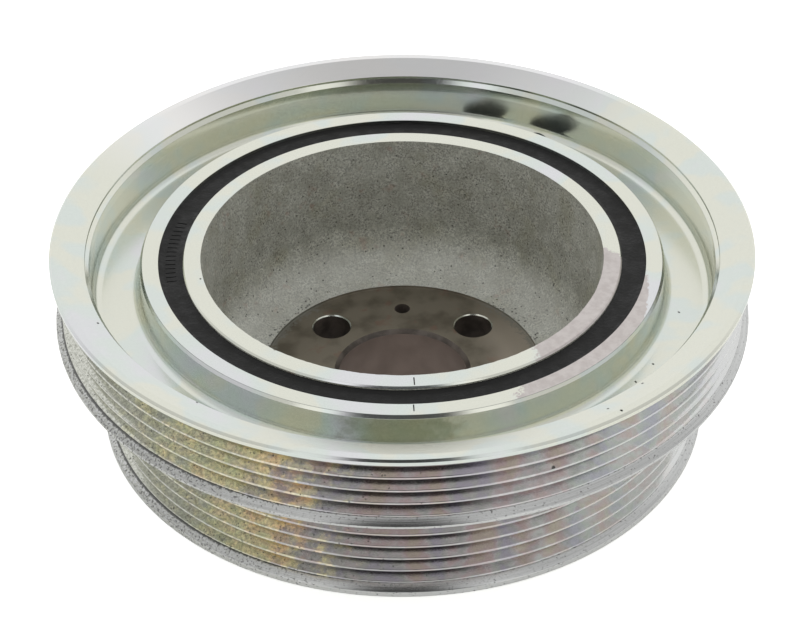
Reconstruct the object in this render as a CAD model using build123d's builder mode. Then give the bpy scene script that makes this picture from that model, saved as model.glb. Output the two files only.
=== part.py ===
"""Harmonic balancer of an engine crankshaft: torsional vibration damper and belt pulley in one.

It lies with its crankshaft face down and the open cup of its hub up.  Three pieces are bonded
together for good:

* hub: a cast cup whose bored and drilled floor bolts to the crankshaft,
* rubber_ring: the elastomer sleeve that lets the outer ring lag behind the hub,
* pulley_ring: the heavy inertia ring, turned with two stepped tracks for poly-V belts.

Lengths are in millimetres.  Z runs up the crankshaft axis, and Z = 0 is the crankshaft face.
"""
from build123d import *
import os
from math import radians, tan

os.makedirs("parts", exist_ok=True)

# ------------------------------------------------------------------ poly-V (PK) belt tracks
RIB_PITCH = 3.56                # belt standard: distance from rib to rib
GROOVE_ANGLE = 40.0             # belt standard: angle between a groove's flanks
GROOVE_DEPTH = 3.0
RIB_TIP = 0.56                  # flat left on the crest between two grooves
FLANGE_RISE = 1.7               # flange edges above the crests, bevelled at 45 degrees
UPPER_GROOVE_COUNT = 4
LOWER_GROOVE_COUNT = 6
groove_mouth = RIB_PITCH - RIB_TIP
groove_root = groove_mouth - 2 * GROOVE_DEPTH * tan(radians(GROOVE_ANGLE / 2))
upper_track = UPPER_GROOVE_COUNT * RIB_PITCH - RIB_TIP
lower_track = LOWER_GROOVE_COUNT * RIB_PITCH - RIB_TIP

# ------------------------------------------------------------------ pulley ring, from the bottom up
RING_BOTTOM = 9.2               # the ring stops short of the crankshaft face
BOTTOM_FLANGE = 3.5             # under the lower track
TRACK_SHOULDER = 4.7            # from the lower track up to the middle flange
MIDDLE_FLANGE = 2.7             # under the upper track
TOP_LIP = 3.05                  # over the upper track
UPPER_DIAMETER = 167.0          # flange edges of the upper track
LOWER_DIAMETER = 148.4          # flange edges of the lower track
EDGE_CHAMFER = 0.4              # bottom edges of the middle and bottom flanges
LIP_CHAMFER = 0.45
lower_track_z = RING_BOTTOM + BOTTOM_FLANGE + lower_track / 2
middle_flange_z = lower_track_z + lower_track / 2 + TRACK_SHOULDER
upper_track_z = middle_flange_z + MIDDLE_FLANGE + upper_track / 2
rim_top = upper_track_z + upper_track / 2 + TOP_LIP
upper_radius = UPPER_DIAMETER / 2
lower_radius = LOWER_DIAMETER / 2

# ------------------------------------------------------------------ rim's top face, outside in
RIM_LAND = 2.2                  # flat at the outer edge
DISH_WIDTH = 5.95               # cone falling inward from the land
DISH_DROP = 2.2
DISH_STEP = 0.55                # upright at the cone's foot
RIM_BEVEL = 1.15                # 45 degree bevel from there to the channel wall
dish_radius = upper_radius - RIM_LAND
bevel_radius = dish_radius - DISH_WIDTH
bevel_top = rim_top - DISH_DROP - DISH_STEP
channel_outer = bevel_radius - RIM_BEVEL

# ------------------------------------------------------------------ rubber ring
HUB_DIAMETER = 105.0            # the rubber's bonded inner face
RUBBER_THICKNESS = 5.7
RUBBER_RECESS = 0.8             # below the faces that it lies between
RUBBER_BOTTOM = 3.6             # above the pulley ring's lower face
hub_radius = HUB_DIAMETER / 2
ring_inner = hub_radius + RUBBER_THICKNESS

# ------------------------------------------------------------------ inner face and channel
FACE_DROP = 5.15                # ring's inner face and hub's rim, below the rim's top
INNER_LAND = 4.8                # width of the ring's inner face
LAND_CHAMFER = 0.6              # its outer edge, broken steeply
LAND_CHAMFER_DROP = 1.0
CHANNEL_DEPTH = 8.6             # below the inner face
CHANNEL_FILLET = 2.4
face_z = rim_top - FACE_DROP
channel_z = face_z - CHANNEL_DEPTH
channel_inner = ring_inner + INNER_LAND
channel_fillet = min(CHANNEL_FILLET, 0.45 * (channel_outer - channel_inner))
channel_middle = (channel_inner + channel_outer) / 2

# ------------------------------------------------------------------ balance drillings, in the channel's floor
BALANCE_DRILL = 10.0
BALANCE_DEPTH = 5.0             # to the full width of the drill
BALANCE_COUNT = 2
BALANCE_ANGLE = 60.3            # first drilling, in degrees from +X
BALANCE_SPACING = 13.5          # degrees from one drilling to the next
DRILL_POINT = 118.0             # angle of the drill's tip
balance_radius = min(BALANCE_DRILL / 2, 0.45 * (channel_outer - channel_inner))
drill_tip = balance_radius / tan(radians(DRILL_POINT / 2))

# ------------------------------------------------------------------ hub
HUB_WALL = 4.35                 # at the machined rim
RIM_CHAMFER = 0.4
CUP_DEPTH = 36.6                # from the rim to the machined floor
CUP_DRAFT = 2.4                 # how far the cast wall closes in towards the floor
CUP_FILLET = 11.0
SPOT_DIAMETER = 69.2            # machined part of the floor
SPOT_DEPTH = 0.6                # cut into the cast floor
CUP_UNDERSIDE = 12.6            # height of the cup's underside around the boss
CUP_CHAMFER = 2.5               # underside's outer edge
BOSS_DIAMETER = 80.0
BOSS_CHAMFER = 1.0
BORE_DIAMETER = 32.0
BORE_CHAMFER = 1.0
BOLT_CIRCLE = 51.0              # carries the bolt holes and the dowel hole
BOLT_COUNT = 4
BOLT_HOLE = 9.5
BOLT_CHAMFER = 0.4
DOWEL_HOLE = 4.0
cup_radius = hub_radius - HUB_WALL
cup_foot = cup_radius - CUP_DRAFT
floor_z = face_z - CUP_DEPTH
cast_floor_z = floor_z + SPOT_DEPTH


def turned_edge(turned, radius, height):
    """Return the circular edge of a turned part at one radius and height."""
    circles = turned.edges().filter_by(GeomType.CIRCLE)
    return circles.sort_by(lambda edge: abs(edge.radius - radius) + abs(edge.arc_center.Z - height))[0]


def corner(profile, radius, height):
    """Return the corner of a turned part's profile at one radius and height."""
    return profile.vertices().sort_by_distance((radius, height, 0))[0]


# The hub is a cup over a boss, hollowed by a draughted bowl with a deep fillet at its foot.
with BuildPart() as hub:
    with BuildSketch(Plane.XZ):
        with Locations((0, CUP_UNDERSIDE)):
            Rectangle(hub_radius, face_z - CUP_UNDERSIDE, align=(Align.MIN, Align.MIN))
        Rectangle(BOSS_DIAMETER / 2, CUP_UNDERSIDE, align=(Align.MIN, Align.MIN))
    revolve(axis=Axis.Z)
    chamfer(turned_edge(hub, hub_radius, CUP_UNDERSIDE), CUP_CHAMFER)
    chamfer(turned_edge(hub, BOSS_DIAMETER / 2, 0), BOSS_CHAMFER)
    with BuildSketch(Plane.XZ) as bowl:
        with BuildLine():
            Polyline((0, cast_floor_z), (cup_foot, cast_floor_z), (cup_radius, face_z), (0, face_z), close=True)
        make_face()
        fillet(corner(bowl, cup_foot, cast_floor_z), CUP_FILLET)
    revolve(axis=Axis.Z, mode=Mode.SUBTRACT)
    chamfer(turned_edge(hub, hub_radius, face_z), RIM_CHAMFER)
    # A spot face seats the bolts; the bore, the bolt holes and the dowel hole go through the boss.
    with Locations(Plane.XY.offset(cast_floor_z)):
        CounterBoreHole(BORE_DIAMETER / 2, SPOT_DIAMETER / 2, SPOT_DEPTH, depth=cast_floor_z)
    chamfer(turned_edge(hub, BORE_DIAMETER / 2, floor_z), BORE_CHAMFER)
    chamfer(turned_edge(hub, BORE_DIAMETER / 2, 0), BORE_CHAMFER)
    with Locations(Plane.XY.offset(floor_z)):
        with PolarLocations(BOLT_CIRCLE / 2, BOLT_COUNT, start_angle=180 / BOLT_COUNT):
            Hole(BOLT_HOLE / 2, depth=floor_z)
    bolt_edges = hub.edges().filter_by(GeomType.CIRCLE)
    bolt_edges = bolt_edges.filter_by(lambda edge: abs(edge.radius - BOLT_HOLE / 2) < 0.001)
    chamfer(bolt_edges, BOLT_CHAMFER)
    with Locations((0, BOLT_CIRCLE / 2, floor_z)):
        Hole(DOWEL_HOLE / 2, depth=floor_z)
hub.part.label = "hub"
export_step(hub.part, "parts/hub.step")

# The rubber fills the gap between hub and ring and stops short of the faces beside it.
with BuildPart() as rubber_ring:
    with BuildSketch(Plane.XZ):
        with Locations((hub_radius, RING_BOTTOM + RUBBER_BOTTOM)):
            Rectangle(
                RUBBER_THICKNESS,
                face_z - RUBBER_RECESS - RING_BOTTOM - RUBBER_BOTTOM,
                align=(Align.MIN, Align.MIN),
            )
    revolve(axis=Axis.Z)
rubber_ring.part.label = "rubber_ring"
export_step(rubber_ring.part, "parts/rubber_ring.step")

# The pulley ring is turned from one blank: a heavy band, a channel and a wide, dished rim.
with BuildPart() as pulley_ring:
    with BuildSketch(Plane.XZ) as blank:
        with BuildLine():
            Polyline(
                (ring_inner, RING_BOTTOM),
                (lower_radius, RING_BOTTOM),
                (lower_radius, middle_flange_z),
                (upper_radius, middle_flange_z),
                (upper_radius, rim_top),
                (dish_radius, rim_top),
                (bevel_radius, rim_top - DISH_DROP),
                (bevel_radius, bevel_top),
                (channel_outer, bevel_top - RIM_BEVEL),
                (channel_outer, channel_z),
                (channel_inner, channel_z),
                (channel_inner, face_z - LAND_CHAMFER_DROP),
                (channel_inner - LAND_CHAMFER, face_z),
                (ring_inner, face_z),
                close=True,
            )
        make_face()
        fillet(
            [corner(blank, channel_outer, channel_z), corner(blank, channel_inner, channel_z)],
            channel_fillet,
        )
        chamfer(corner(blank, lower_radius, RING_BOTTOM), EDGE_CHAMFER)
        chamfer(corner(blank, upper_radius, middle_flange_z), EDGE_CHAMFER)
        chamfer(corner(blank, upper_radius, rim_top), LIP_CHAMFER)
    revolve(axis=Axis.Z)
    # Both tracks are relieved between bevelled flanges, then grooved rib by rib.
    with BuildSketch(Plane.XZ):
        for crest, centre_z, track, grooves in (
            (upper_radius - FLANGE_RISE, upper_track_z, upper_track, UPPER_GROOVE_COUNT),
            (lower_radius - FLANGE_RISE, lower_track_z, lower_track, LOWER_GROOVE_COUNT),
        ):
            with Locations((crest, centre_z)):
                Polygon(
                    (0, -track / 2),
                    (FLANGE_RISE + 1, -track / 2 - FLANGE_RISE - 1),
                    (FLANGE_RISE + 1, track / 2 + FLANGE_RISE + 1),
                    (0, track / 2),
                    align=None,
                )
                with GridLocations(0, RIB_PITCH, 1, grooves):
                    Polygon(
                        (0, -groove_mouth / 2),
                        (0, groove_mouth / 2),
                        (-GROOVE_DEPTH, groove_root / 2),
                        (-GROOVE_DEPTH, -groove_root / 2),
                        align=None,
                    )
    revolve(axis=Axis.Z, mode=Mode.SUBTRACT)
    # Two blind drillings side by side in the channel's floor took out the ring's heavy side.
    drill_start = channel_z + channel_fillet
    drill_depth = BALANCE_DEPTH + channel_fillet
    balance_arc = BALANCE_SPACING * (BALANCE_COUNT - 1)
    with Locations(Plane.XY.offset(drill_start)):
        with PolarLocations(channel_middle, BALANCE_COUNT, BALANCE_ANGLE, balance_arc, endpoint=True):
            Hole(balance_radius, depth=drill_depth)
    with Locations(Plane.XY.offset(drill_start - drill_depth)):
        with PolarLocations(channel_middle, BALANCE_COUNT, BALANCE_ANGLE, balance_arc, endpoint=True):
            tip_place = (Align.CENTER, Align.CENTER, Align.MAX)
            Cone(0, balance_radius, drill_tip, align=tip_place, mode=Mode.SUBTRACT)
pulley_ring.part.label = "pulley_ring"
export_step(pulley_ring.part, "parts/pulley_ring.step")
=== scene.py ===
"""Looks of a harmonic balancer: a turned, zinc-plated pulley ring bonded with rubber to a cast cup hub.

Each piece is turned from its section with Blender's own mesh tools, drilled, marked and dressed.
Sizes are in millimetres until a mesh is made, heights are measured from the crankshaft face, and
the crankshaft axis is Z.
"""

import logging
import math
from collections.abc import Callable
from dataclasses import dataclass, field
from enum import Enum
from functools import reduce

import bpy
from mathutils import Euler, Matrix, Vector


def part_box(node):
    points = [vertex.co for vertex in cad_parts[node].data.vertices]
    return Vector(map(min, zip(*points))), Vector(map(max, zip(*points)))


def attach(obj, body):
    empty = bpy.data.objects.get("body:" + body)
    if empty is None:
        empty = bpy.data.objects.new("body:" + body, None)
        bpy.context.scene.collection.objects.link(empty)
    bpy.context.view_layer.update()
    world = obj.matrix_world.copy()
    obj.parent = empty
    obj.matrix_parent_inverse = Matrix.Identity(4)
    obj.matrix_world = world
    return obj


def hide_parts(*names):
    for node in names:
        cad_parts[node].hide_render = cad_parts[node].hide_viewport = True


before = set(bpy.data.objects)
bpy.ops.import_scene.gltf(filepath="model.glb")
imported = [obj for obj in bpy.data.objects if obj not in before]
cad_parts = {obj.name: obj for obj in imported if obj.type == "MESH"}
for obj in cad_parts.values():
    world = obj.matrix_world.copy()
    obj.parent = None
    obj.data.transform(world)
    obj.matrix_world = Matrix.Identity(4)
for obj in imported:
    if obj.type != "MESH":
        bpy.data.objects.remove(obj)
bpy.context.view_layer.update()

logging.basicConfig(level=logging.INFO, format="%(levelname)s %(message)s")
log = logging.getLogger("harmonic_balancer")

MM = 0.001                      # metres in a millimetre

Point = tuple[float, float]     # radius and height of a point, mm
Pair = tuple[float, float]
Mark = tuple[float, float, float]       # radius, angle from +X and height of a speck, mm and degrees
Arc = tuple[float, float, float]        # middle, half width and soft edge of a sector, degrees
Stretch = tuple[float, float, float, float]     # two levels, and what they are turned into
Colour = tuple[float, float, float, float]
Stop = tuple[float, str]        # position and sRGB colour of a ramp's stop
Socket = bpy.types.NodeSocket
Value = bpy.types.NodeSocket | float    # what feeds a node: another node or a number
Face = bpy.types.MeshPolygon


# --------------------------------------------------------------------------- sizes
@dataclass(frozen=True)
class Envelope:
    """Reach of a CAD node that is turned about the crankshaft axis.

    Args:
        radius: outer radius, mm.
        bottom: lowest height, mm.
        top: highest height, mm.
    """

    radius: float
    bottom: float
    top: float

    @classmethod
    def of(cls, node: str) -> "Envelope":
        """Measure a CAD node.

        Args:
            node: name of the node.

        Returns:
            Its envelope, in millimetres.
        """
        low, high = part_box(node)
        return cls(radius=high.x / MM, bottom=low.z / MM, top=high.z / MM)


@dataclass(frozen=True)
class Corner:
    """One corner of a section.

    Args:
        radius: distance from the axis, mm.
        height: mm.
        rounding: radius of the arc that softens the corner, mm.
    """

    radius: float
    height: float
    rounding: float = 0.0


@dataclass(frozen=True)
class BeltTrack:
    """Poly-V belt track: grooves between ribs, with a bevelled flange on either side.

    Args:
        crest: radius of the ribs' crests, mm.
        low: height of the lowest groove's mouth, mm.
        grooves: number of grooves.
    """

    crest: float
    low: float
    grooves: int
    pitch: float = 3.56
    rib_tip: float = 0.56
    depth: float = 3.0
    flank_angle: float = 20.0
    flange_rise: float = 1.7
    flange_rounding: Pair = (0.45, 0.2)    # lower and upper flange
    crest_rounding: float = 0.2
    root_rounding: float = 0.25
    crease: float = 0.36            # width of the crease where a lower flange leaves the grooves

    @property
    def height(self) -> float:
        """Height of the grooved part, from mouth to mouth, mm."""
        return self.grooves * self.pitch - self.rib_tip

    @property
    def high(self) -> float:
        """Height of the highest groove's mouth, mm."""
        return self.low + self.height

    @property
    def flange(self) -> float:
        """Radius of the flanges' edges, mm."""
        return self.crest + self.flange_rise

    @property
    def crease_height(self) -> float:
        """Height of the crease at the lower flange, mm."""
        return self.low - 1.3 * self.crease

    def corners(self) -> list[Corner]:
        """Go up the track's section.

        Returns:
            Its corners, from the lower flange's edge to the upper flange's.
        """
        mouth = self.pitch - self.rib_tip
        flank = self.depth * math.tan(math.radians(self.flank_angle))
        root = self.crest - self.depth
        found = [
            Corner(self.flange, self.low - self.flange_rise, self.flange_rounding[0]),
            Corner(self.crest + 0.5 * self.crease, self.low - 1.6 * self.crease),
            Corner(self.crest - 0.7 * self.crease, self.crease_height),
            Corner(self.crest, self.low - 0.8 * self.crease),
        ]
        for groove in range(self.grooves):
            foot = self.low + groove * self.pitch
            found += [
                Corner(self.crest, foot, self.crest_rounding),
                Corner(root, foot + flank, self.root_rounding),
                Corner(root, foot + mouth - flank, self.root_rounding),
                Corner(self.crest, foot + mouth, self.crest_rounding),
            ]
        found.append(Corner(self.flange, self.high + self.flange_rise, self.flange_rounding[1]))
        return found


# --------------------------------------------------------------------------- sections
def arc_through(before: Point, corner: Corner, after: Point, turn_per_step: float) -> list[Point]:
    """Round one corner of a section.

    Args:
        before: the corner before it.
        corner: the corner to round.
        after: the corner after it.
        turn_per_step: largest turn between two points of the arc, degrees.

    Returns:
        The points that take the corner's place.
    """
    here = Vector((corner.radius, corner.height))
    back = (Vector(before) - here).normalized()
    ahead = (Vector(after) - here).normalized()
    between = back.angle(ahead)
    turn = math.pi - between
    if corner.rounding == 0.0 or turn < 0.01:
        return [tuple(here)]
    reach = corner.rounding / math.tan(between / 2)
    centre = here + (back + ahead).normalized() * corner.rounding / math.sin(between / 2)
    start = here + back * reach - centre
    steps = max(2, math.ceil(math.degrees(turn) / turn_per_step))
    sign = -1.0 if back.x * ahead.y - back.y * ahead.x > 0 else 1.0
    points = []
    for step in range(steps + 1):
        angle = sign * turn * step / steps
        turned_start = Vector(
            (
                start.x * math.cos(angle) - start.y * math.sin(angle),
                start.x * math.sin(angle) + start.y * math.cos(angle),
            )
        )
        points.append(tuple(centre + turned_start))
    return points


def section(corners: list[Corner], turn_per_step: float = 24.0) -> list[Point]:
    """Draw a closed section with its rounded corners.

    Args:
        corners: the section's corners in order.
        turn_per_step: largest turn between two points of an arc, degrees.

    Returns:
        The section's points; the last one joins the first.
    """
    points = []
    for index, corner in enumerate(corners):
        before = corners[index - 1]
        after = corners[(index + 1) % len(corners)]
        points += arc_through(
            (before.radius, before.height), corner, (after.radius, after.height), turn_per_step
        )
    return points


def divided(points: list[Point], spacing: float, low: float, high: float, inside: float) -> list[Point]:
    """Add points along the stretch of a section that gets a rough surface.

    Args:
        points: the section's points.
        spacing: largest distance between two points there, mm.
        low: lowest height of the stretch, mm.
        high: highest height of the stretch, mm.
        inside: largest radius of the stretch, mm.

    Returns:
        The section with the points added.
    """
    found = []
    for index, start in enumerate(points):
        found.append(start)
        end = points[(index + 1) % len(points)]
        rough = all(low <= p[1] <= high and p[0] <= inside for p in (start, end))
        if not rough:
            continue
        pieces = math.ceil(math.dist(start, end) / spacing)
        for piece in range(1, pieces):
            share = piece / pieces
            found.append((start[0] + (end[0] - start[0]) * share, start[1] + (end[1] - start[1]) * share))
    return found


# --------------------------------------------------------------------------- shop tools
def clear_selection() -> None:
    """Leave nothing selected, so that an operator acts on its own piece alone."""
    bpy.ops.object.select_all(action="DESELECT")


def make_active(piece: bpy.types.Object) -> None:
    """Select one piece alone and make it the active one."""
    clear_selection()
    piece.select_set(True)
    bpy.context.view_layer.objects.active = piece


def turn_piece(name: str, points: list[Point], steps: int) -> bpy.types.Object:
    """Turn a solid about the crankshaft axis from its section.

    Args:
        name: name of the piece.
        points: the section's points, in order, mm.
        steps: facets round the axis.

    Returns:
        The turned piece, closed, with its faces pointing outwards.
    """
    clear_selection()
    bpy.ops.mesh.primitive_plane_add(size=MM, location=(0.0, 0.0, 0.0))
    piece = bpy.context.object
    piece.name = name
    bpy.ops.object.mode_set(mode="EDIT")
    bpy.ops.mesh.select_all(action="SELECT")
    bpy.ops.mesh.merge(type="CENTER")
    bpy.ops.transform.translate(value=(points[0][0] * MM, 0.0, points[0][1] * MM))
    for start, end in zip(points, points[1:] + points[:1]):
        step = ((end[0] - start[0]) * MM, 0.0, (end[1] - start[1]) * MM)
        bpy.ops.mesh.extrude_vertices_move(TRANSFORM_OT_translate={"value": step})
    bpy.ops.mesh.select_all(action="SELECT")
    bpy.ops.mesh.spin(steps=steps, angle=2 * math.pi, center=(0.0, 0.0, 0.0), axis=(0.0, 0.0, 1.0))
    bpy.ops.mesh.select_all(action="SELECT")
    bpy.ops.mesh.remove_doubles(threshold=0.001 * MM)
    bpy.ops.mesh.normals_make_consistent(inside=False)
    bpy.ops.object.mode_set(mode="OBJECT")
    return piece


def drill(name: str, tool: list[Point], radius: float, angle: float) -> bpy.types.Object:
    """Make the solid that a drill takes out of a piece.

    Args:
        name: name of the tool.
        tool: the drill's section, from its tip up, mm.
        radius: distance of its axis from the crankshaft axis, mm.
        angle: degrees from +X.

    Returns:
        The drill's solid in its place.
    """
    made = turn_piece(name, tool, steps=64)
    make_active(made)
    bpy.ops.object.mode_set(mode="EDIT")
    bpy.ops.mesh.select_all(action="SELECT")
    turn = math.radians(angle)
    bpy.ops.transform.translate(value=(radius * math.cos(turn) * MM, radius * math.sin(turn) * MM, 0.0))
    bpy.ops.object.mode_set(mode="OBJECT")
    return made


def scriber(name: str, start: float, end: float, angle: float, top: float) -> bpy.types.Object:
    """Make the V-shaped solid that a scriber takes out of a face along a radius.

    Args:
        name: name of the tool.
        start: inner end of the line, mm from the axis.
        end: outer end of the line, mm from the axis.
        angle: degrees from +X.
        top: height of the scribed face, mm.

    Returns:
        The scriber's solid in its place.
    """
    width, depth, taper = 0.95, 0.5, 0.3
    clear_selection()
    bpy.ops.mesh.primitive_cube_add(size=1.0, location=((start + end) / 2 * MM, 0.0, top * MM))
    tool = bpy.context.object
    tool.name = name
    tool.scale = ((end - start) * MM, width * MM, 2 * depth * MM)
    bpy.ops.object.transform_apply(location=True, rotation=True, scale=True)
    for vertex in tool.data.vertices:
        vertex.select = vertex.co.z < top * MM
    bpy.ops.object.mode_set(mode="EDIT")
    bpy.ops.transform.resize(value=(1.0, taper, 1.0), center_override=(0.0, 0.0, top * MM))
    bpy.ops.object.mode_set(mode="OBJECT")
    tool.rotation_euler.z = math.radians(angle)
    bpy.ops.object.transform_apply(location=True, rotation=True, scale=True)
    return tool


def modify(piece: bpy.types.Object, kind: str, settings: dict[str, object]) -> None:
    """Put one modifier on a piece and apply it.

    Args:
        piece: the piece.
        kind: the modifier's type.
        settings: its properties, by name.
    """
    make_active(piece)
    bpy.ops.object.modifier_add(type=kind)
    modifier = piece.modifiers[-1]
    for name, value in settings.items():
        setattr(modifier, name, value)
    bpy.ops.object.modifier_apply(modifier=modifier.name)


def cut_out(piece: bpy.types.Object, tools: list[bpy.types.Object]) -> None:
    """Take the solids of several tools out of a piece.

    Args:
        piece: the piece that is drilled or scribed.
        tools: the tools' solids, clear of each other; they are used up.
    """
    make_active(tools[0])
    for tool in tools[1:]:
        tool.select_set(True)
    if len(tools) > 1:
        bpy.ops.object.join()
    cutter = bpy.context.object
    modify(piece, "BOOLEAN", {"operation": "DIFFERENCE", "solver": "EXACT", "object": cutter})
    make_active(cutter)
    bpy.ops.object.delete()


def roughen(piece: bpy.types.Object, group: str, grain: float, relief: float) -> None:
    """Give part of a piece the relief of a sand mould.

    Args:
        piece: the piece.
        group: the vertex group that is rough.
        grain: size of the relief's lumps, mm.
        relief: height from the lowest to the highest, mm.
    """
    lumps = bpy.data.textures.new(f"{piece.name}_{group}_lumps", "CLOUDS")
    lumps.noise_scale = grain * MM
    lumps.noise_depth = 2
    settings = {"texture": lumps, "texture_coords": "LOCAL", "vertex_group": group}
    modify(piece, "DISPLACE", {**settings, "mid_level": 0.5, "strength": relief * MM})


def finish_normals(piece: bpy.types.Object, sharp_above: float = 40.0) -> None:
    """Shade a piece smooth, with its flats kept flat beside their rounded edges.

    Args:
        piece: the piece.
        sharp_above: edges that turn by more than this stay sharp, degrees.
    """
    make_active(piece)
    bpy.ops.object.shade_smooth_by_angle(angle=math.radians(sharp_above))
    modify(piece, "WEIGHTED_NORMAL", {"keep_sharp": True, "weight": 100})


# --------------------------------------------------------------------------- shader tools
def linear(code: str) -> Colour:
    """Turn an sRGB hex colour into a linear one.

    Args:
        code: six hex digits after a #.

    Returns:
        Linear red, green, blue, and an alpha of 1.
    """
    channels = [int(code[i : i + 2], 16) / 255 for i in (1, 3, 5)]
    red, green, blue = (c / 12.92 if c <= 0.04045 else ((c + 0.055) / 1.055) ** 2.4 for c in channels)
    return red, green, blue, 1.0


def add_node(
    tree: bpy.types.NodeTree,
    kind: str,
    inputs: dict[str | int, object] | None = None,
    **settings: object,
) -> bpy.types.Node:
    """Add one node, set it and link it.

    Args:
        tree: the node tree.
        kind: the node's type without "ShaderNode".
        inputs: value or output socket for each input, by name or number.
        settings: the node's own properties.

    Returns:
        The node.
    """
    node = tree.nodes.new("ShaderNode" + kind)
    for name, value in settings.items():
        setattr(node, name, value)
    for name, value in (inputs or {}).items():
        if isinstance(value, bpy.types.NodeSocket):
            tree.links.new(value, node.inputs[name])
        else:
            node.inputs[name].default_value = value
    return node


@dataclass
class Sheet:
    """Node tree with the sums that its patterns are made of.

    Args:
        owner: the material or world that the tree belongs to.
    """

    owner: bpy.types.Material | bpy.types.World
    tree: bpy.types.NodeTree = field(init=False)

    def __post_init__(self) -> None:
        """Empty the tree."""
        self.owner.use_nodes = True
        self.tree = self.owner.node_tree
        self.tree.nodes.clear()

    def math(self, operation: str, first: Value, second: Value = 0.0, third: Value = 0.0) -> Socket:
        """Add a Math node for an operation on up to three values."""
        inputs = {0: first, 1: second, 2: third}
        return add_node(self.tree, "Math", inputs, operation=operation).outputs[0]

    def times(self, first: Value, *others: Value) -> Value:
        """Multiply values, or overlap masks."""
        return reduce(lambda product, other: self.math("MULTIPLY", product, other), others, first)

    def either(self, first: Value, *others: Value) -> Value:
        """Take the largest of several values, or join masks."""
        return reduce(lambda largest, other: self.math("MAXIMUM", largest, other), others, first)

    def plus(self, value: Value, factor: Value, base: Value) -> Socket:
        """Multiply a value by a factor and add it to a base."""
        return self.math("MULTIPLY_ADD", value, factor, base)

    def below(self, value: Value, limit: Value) -> Socket:
        """Mask where a value is below a limit."""
        return self.math("LESS_THAN", value, limit)

    def from_axis(self, x: Value, y: Value) -> Socket:
        """Work out the distance from the axis."""
        return self.math("SQRT", self.math("ADD", self.math("POWER", x, 2.0), self.math("POWER", y, 2.0)))

    def level(
        self, value: Value, low: float, high: float, to_low: float = 0.0, to_high: float = 1.0
    ) -> Socket:
        """Stretch a value from between two levels to between two others, smoothly and clamped."""
        inputs = {"Value": value, "From Min": low, "From Max": high, "To Min": to_low, "To Max": to_high}
        return add_node(self.tree, "MapRange", inputs, interpolation_type="SMOOTHSTEP").outputs[0]

    def ramp(self, value: Value, stops: tuple[Stop, ...], interpolation: str = "EASE") -> Socket:
        """Turn a value into colour.

        Args:
            value: from 0 to 1.
            stops: the ramp's colours.
            interpolation: how it goes from stop to stop.

        Returns:
            The colour.
        """
        node = add_node(self.tree, "ValToRGB", {0: value})
        elements = node.color_ramp.elements
        node.color_ramp.interpolation = interpolation
        while len(elements) < len(stops):
            elements.new(0.5)
        for element, (position, code) in zip(elements, stops):
            element.position = position
            element.color = linear(code)
        return node.outputs[0]

    def grey(self, value: Value) -> Socket:
        """Turn a value into a grey colour."""
        return add_node(self.tree, "CombineColor", {0: value, 1: value, 2: value}).outputs[0]

    def mix(self, share: Value, first: Socket | str, second: Socket | str, blend: str = "MIX") -> Socket:
        """Mix two colours, each a socket or a code.

        Args:
            share: share of the second one.
            first: one colour.
            second: the other.
            blend: how they are mixed.

        Returns:
            The colour.
        """
        colours = [linear(c) if isinstance(c, str) else c for c in (first, second)]
        inputs = {0: share, 6: colours[0], 7: colours[1]}
        return add_node(self.tree, "Mix", inputs, data_type="RGBA", blend_type=blend).outputs[2]


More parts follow.
